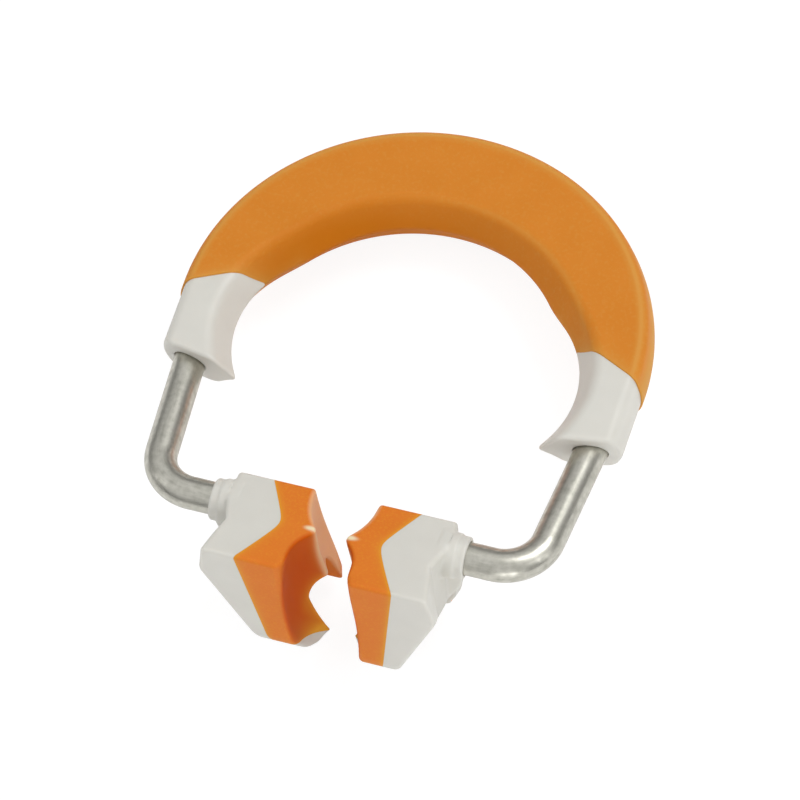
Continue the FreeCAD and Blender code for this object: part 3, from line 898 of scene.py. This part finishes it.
def build_tip_pair(part, fields, span, material):
    """A body or pad, the right-hand one as given by its fields and the left one mirrored."""
    t = settings("tip")
    low = (span[0], t.front_y - SPARE, t.foot[1] - SPARE)
    high = (span[1], t.rear_y + SPARE, t.high_z + SPARE)
    points, quads, both = net_over(fields, t, low, high)
    for _ in range(3):
        points = settle(evened(points, quads), fields, t, both)
    marks = pad_marks(points, t)
    left = points * np.array([-1, 1, 1])
    return [
        make_piece("right_" + part, points, quads.tolist(), material, "right_tip_" + part,
                   marks=marks),
        make_piece("left_" + part, left, quads[:, ::-1].tolist(), material, "left_tip_" + part,
                   marks=marks),
    ]


# Materials

def linear(code):
    """Linear colour of an sRGB hex code."""
    parts = np.array([int(code[i:i + 2], 16) / 255 for i in (0, 2, 4)])
    low = parts / 12.92
    high = ((parts + 0.055) / 1.055) ** 2.4
    return (*np.where(parts <= 0.04045, low, high).tolist(), 1.0)


def add_node(tree, kind, inputs=None, **values):
    """Add a node, set its own values, and set or link its inputs."""
    made = tree.nodes.new(kind)
    for name, value in values.items():
        setattr(made, name, value)
    for name, value in (inputs or {}).items():
        if isinstance(value, bpy.types.NodeSocket):
            tree.links.new(value, made.inputs[name])
        else:
            made.inputs[name].default_value = value
    return made


def new_material(name):
    """A material with an empty node tree."""
    made = bpy.data.materials.new(name)
    made.use_nodes = True
    made.node_tree.nodes.clear()
    return made, made.node_tree


def finish_material(tree, surface):
    """Lead a shader to the material's output."""
    add_node(tree, "ShaderNodeOutputMaterial", {"Surface": surface})


def noise(tree, at, millimetres, detail=3.0):
    """Noise whose features are about as wide as the given millimetres."""
    made = add_node(tree, "ShaderNodeTexNoise",
                    {"Vector": at, "Scale": 1 / (millimetres * MM), "Detail": detail})
    return made.outputs["Fac"]


def spread(tree, value, low, high, to_low, to_high):
    """Value stretched from one range to another, and held at its ends."""
    made = add_node(tree, "ShaderNodeMapRange",
                    {"Value": value, "From Min": low, "From Max": high,
                     "To Min": to_low, "To Max": to_high})
    return made.outputs[0]


def blend(tree, share, first, second):
    """The first colour, or the second where the share is 1."""
    made = add_node(tree, "ShaderNodeMixRGB", {"Fac": share, "Color1": first, "Color2": second})
    return made.outputs[0]


def bumped(tree, height, millimetres, strength):
    """Normals bent by a relief of the given height."""
    made = add_node(tree, "ShaderNodeBump",
                    {"Height": height, "Strength": strength, "Distance": millimetres * MM})
    return made.outputs[0]


def steel_material():
    """Drawn stainless spring wire: bright, with long fine streaks from the drawing die
    and duller patches from handling, which break up its reflections.

    26 streaks go round the wire, each about 0.2 mm wide and 1.4 mm long. The patches
    are 0.4 mm across, and the pits are drawn 0.15 mm across, as coarse as shows.
    """
    f = settings("finish")
    made, tree = new_material("drawn_stainless_steel")
    uv = add_node(tree, "ShaderNodeUVMap", uv_map="UVMap")
    along = add_node(tree, "ShaderNodeMapping", {"Vector": uv.outputs["UV"],
                                                 "Scale": (26.0, 0.7, 1.0)})
    streak = add_node(tree, "ShaderNodeTexNoise", {"Vector": along.outputs[0], "Scale": 1.0,
                                                   "Detail": 6.0, "Roughness": 0.65})
    place = add_node(tree, "ShaderNodeTexCoord").outputs["Object"]
    patch = noise(tree, place, 0.4, 6.0)
    pits = noise(tree, place, 0.15, 4.0)
    dull = add_node(tree, "ShaderNodeMath", {0: streak.outputs["Fac"], 1: patch},
                    operation="MULTIPLY")
    tone = blend(tree, spread(tree, dull.outputs[0], 0.12, 0.48, 0.0, 1.0), linear(f.steel),
                 linear(f.steel_dull))
    height = add_node(tree, "ShaderNodeMath", {0: streak.outputs["Fac"], 1: pits},
                      operation="ADD")
    shader = add_node(tree, "ShaderNodeBsdfPrincipled",
                      {"Base Color": tone, "Metallic": 1.0,
                       "Roughness": spread(tree, patch, 0.35, 0.7, 0.3, 0.4),
                       "Normal": bumped(tree, height.outputs[0], 0.02, 0.3)})
    finish_material(tree, shader.outputs[0])
    return made


def white_material():
    """Moulded polyester, glass filled: satin, faintly see-through at thin edges, with
    clouds 1.6 mm wide from the melt's flow. The band and the tips share it."""
    name = "satin_moulded_polyester"
    if name in bpy.data.materials:
        return bpy.data.materials[name]
    f = settings("finish")
    made, tree = new_material(name)
    place = add_node(tree, "ShaderNodeTexCoord").outputs["Object"]
    cloud = noise(tree, place, 1.6)
    grit = noise(tree, place, 0.12)
    tone = blend(tree, cloud, linear(f.white), linear(f.white_cloud))
    shader = add_node(tree, "ShaderNodeBsdfPrincipled",
                      {"Base Color": tone, "Roughness": spread(tree, cloud, 0.0, 1.0, 0.38, 0.5),
                       "IOR": 1.55, "Subsurface Weight": 0.25,
                       "Subsurface Radius": (1.0, 0.9, 0.8), "Subsurface Scale": 0.5 * MM,
                       "Normal": bumped(tree, grit, 0.01, 0.3)})
    finish_material(tree, shader.outputs[0])
    return made


def rubber_material(name, light, shaded_tone, thin, speck, flash=None):
    """Moulded elastomer: matt, with clouds 2.2 mm wide and fine specks of the given
    width, with painted shade that darkens it inside its hollows, and painted light that
    makes it paler and yellower along thin edges, where light comes through it, and that
    also gives the cover's painted highlights. The sheen tone is a painted highlight."""
    made, tree = new_material(name)
    place = add_node(tree, "ShaderNodeTexCoord").outputs["Object"]
    cloud = spread(tree, noise(tree, place, 2.2), 0.35, 0.65, 0.0, 0.14)
    specks = noise(tree, place, speck, 4.0)
    tone = blend(tree, cloud, linear(light), linear(shaded_tone))
    tone = blend(tree, spread(tree, specks, 0.5, 0.72, 0.0, 0.3), tone, linear(thin))
    # Painted shade in the hollows, painted light and highlights along thin edges, and a painted
    # sheen
    for mark, shade in (("hollow", shaded_tone), ("thin", thin), ("flash", flash)):
        if shade is not None:
            share = add_node(tree, "ShaderNodeAttribute", attribute_name=mark).outputs["Fac"]
            tone = blend(tree, share, tone, linear(shade))
    shader = add_node(tree, "ShaderNodeBsdfPrincipled",
                      {"Base Color": tone, "Roughness": 0.55, "IOR": 1.43,
                       "Specular IOR Level": 0.2,
                       "Subsurface Weight": 0.15, "Subsurface Radius": (1.0, 0.45, 0.12),
                       "Subsurface Scale": 0.5 * MM, "Normal": bumped(tree, specks, 0.02, 0.35)})
    finish_material(tree, shader.outputs[0])
    return made


# Studio

# Name, place, width and height in metres, and power in watts; each faces the ring
LAMPS = (
    ("key_softbox", (0.16, 0.21, 0.37), 0.16, 0.16, 0.62),
    ("front_softbox", (0.16, -0.42, 0.10), 0.34, 0.14, 0.40),
    ("right_softbox", (0.42, -0.02, 0.20), 0.14, 0.30, 0.20),
    ("left_softbox", (-0.38, -0.10, 0.20), 0.14, 0.30, 0.10),
)
FLOOR_REACH = 1.5
# How brightly the camera sees the table glow, and how much of the table's look that is
GLOW, GLOW_SHARE = 1.09, 0.8


def lay_floor():
    """White table, so brightly lit that the camera sees only a trace of the shadow."""
    made, tree = new_material("white_paper_table")
    paper = add_node(tree, "ShaderNodeBsdfDiffuse", {"Color": linear(settings("finish").floor)})
    glow = add_node(tree, "ShaderNodeEmission", {"Color": (1, 1, 1, 1), "Strength": GLOW})
    seen = add_node(tree, "ShaderNodeLightPath").outputs["Is Camera Ray"]
    share = add_node(tree, "ShaderNodeMath", {0: seen, 1: GLOW_SHARE}, operation="MULTIPLY")
    mixed = add_node(tree, "ShaderNodeMixShader",
                     {0: share.outputs[0], 1: paper.outputs[0], 2: glow.outputs[0]})
    finish_material(tree, mixed.outputs[0])
    r = FLOOR_REACH
    mesh = bpy.data.meshes.new("floor")
    mesh.from_pydata([(-r, -r, 0), (r, -r, 0), (r, r, 0), (-r, r, 0)], [], [(0, 1, 2, 3)])
    mesh.materials.append(made)
    floor = bpy.data.objects.new("floor", mesh)
    bpy.context.scene.collection.objects.link(floor)


def light_world():
    """Air that is bright overhead and dim near the horizon, as in a studio with a large
    ceiling light, which gives the bent wire its dark bands."""
    world = bpy.data.worlds.new("studio_air")
    world.use_nodes = True
    tree = world.node_tree
    tree.nodes.clear()
    way = add_node(tree, "ShaderNodeTexCoord").outputs["Generated"]
    level = add_node(tree, "ShaderNodeSeparateXYZ", {"Vector": way}).outputs["Z"]
    air = add_node(tree, "ShaderNodeBackground",
                   {"Color": (1, 1, 1, 1), "Strength": spread(tree, level, 0.1, 0.6, 0.03, 0.78)})
    add_node(tree, "ShaderNodeOutputWorld", {"Surface": air.outputs[0]})
    bpy.context.scene.world = world


def add_lamp(name, place, width, height, power):
    """Rectangular softbox that faces the ring."""
    data = bpy.data.lights.new(name, "AREA")
    data.shape = "RECTANGLE"
    data.size = width
    data.size_y = height
    data.energy = power
    lamp = bpy.data.objects.new(name, data)
    lamp.location = place
    lamp.rotation_euler = (-Vector(place)).to_track_quat("-Z", "Y").to_euler()
    bpy.context.scene.collection.objects.link(lamp)


def add_camera():
    """Camera on a sphere round its target, rolled about its own axis."""
    s = settings("studio")
    c = math.cos(s.elevation)
    away = Vector((c * math.sin(s.azimuth), -c * math.cos(s.azimuth), math.sin(s.elevation)))
    data = bpy.data.cameras.new("camera")
    data.lens = s.lens
    data.sensor_width = 36
    data.clip_start = 0.01
    data.clip_end = 10
    camera = bpy.data.objects.new("camera", data)
    look = (-away).to_track_quat("-Z", "Y").to_matrix().to_4x4()
    roll = Matrix.Rotation(s.roll, 4, "Z")
    place = Matrix.Translation(Vector(s.target) + away * s.distance)
    camera.matrix_world = place @ look @ roll
    bpy.context.scene.collection.objects.link(camera)
    bpy.context.scene.camera = camera


# Operators

class BuildWire(bpy.types.Operator):
    """Sweep the spring wire along its bent line"""
    bl_idname = "matrix_ring.wire"
    bl_label = "Spring wire"

    def execute(self, context):
        build_wire(steel_material())
        return {"FINISHED"}


class BuildBand(bpy.types.Operator):
    """Make the white core of the band and its orange cover"""
    bl_idname = "matrix_ring.band"
    bl_label = "Band"

    def execute(self, context):
        f = settings("finish")
        rubber = rubber_material("matt_orange_elastomer", f.cover, f.cover_painted_shade, f.cover_painted_light,
                                 speck=0.2)
        build_core(white_material())
        build_cover(rubber)
        return {"FINISHED"}


class BuildTips(bpy.types.Operator):
    """Make the two tips, each a white body with a soft pad"""
    bl_idname = "matrix_ring.tips"
    bl_label = "Tips"

    def execute(self, context):
        f = settings("finish")
        rubber = rubber_material("soft_orange_silicone", f.pad, f.pad_painted_shade, f.pad_painted_light,
                                 speck=0.14, flash=f.flash)
        for piece in build_tip_pair("body", (tip_field, outside_pad), BODY_SPAN, white_material()):
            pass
        for piece in build_tip_pair("pad", (tip_field, pad_field), PAD_SPAN, rubber):
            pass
        return {"FINISHED"}


class BuildStudio(bpy.types.Operator):
    """Lay the floor and set the lights and the camera"""
    bl_idname = "matrix_ring.studio"
    bl_label = "Studio"

    def execute(self, context):
        lay_floor()
        light_world()
        for lamp in LAMPS:
            add_lamp(*lamp)
        add_camera()
        context.scene.view_settings.view_transform = "Standard"
        return {"FINISHED"}


class MatrixRingPanel(bpy.types.Panel):
    """Lists the operators that build the ring"""
    bl_idname = "VIEW3D_PT_matrix_ring"
    bl_label = "Matrix ring"
    bl_space_type = "VIEW_3D"
    bl_region_type = "UI"
    bl_category = "Matrix Ring"

    def draw(self, context):
        for operator in OPERATORS:
            self.layout.operator(operator.bl_idname)


GROUPS = {"rest": RestSizes, "wire": WireSizes, "band": BandSizes, "tip": TipSizes,
          "finish": FinishSettings, "studio": StudioSettings}
OPERATORS = (BuildWire, BuildBand, BuildTips, BuildStudio)


def register():
    """Add the settings, the operators and the panel."""
    for name, group in GROUPS.items():
        bpy.utils.register_class(group)
        setattr(bpy.types.Scene, "matrix_ring_" + name, PointerProperty(type=group))
    for kind in OPERATORS + (MatrixRingPanel,):
        bpy.utils.register_class(kind)


def unregister():
    """Take them out again, last ones first."""
    for kind in reversed(OPERATORS + (MatrixRingPanel,)):
        bpy.utils.unregister_class(kind)
    for name, group in reversed(GROUPS.items()):
        delattr(bpy.types.Scene, "matrix_ring_" + name)
        bpy.utils.unregister_class(group)


def main():
    """Register the settings and operators, and build everything."""
    register()
    bpy.ops.matrix_ring.wire()
    bpy.ops.matrix_ring.band()
    bpy.ops.matrix_ring.tips()
    bpy.ops.matrix_ring.studio()


if __name__ == "__main__":
    main()
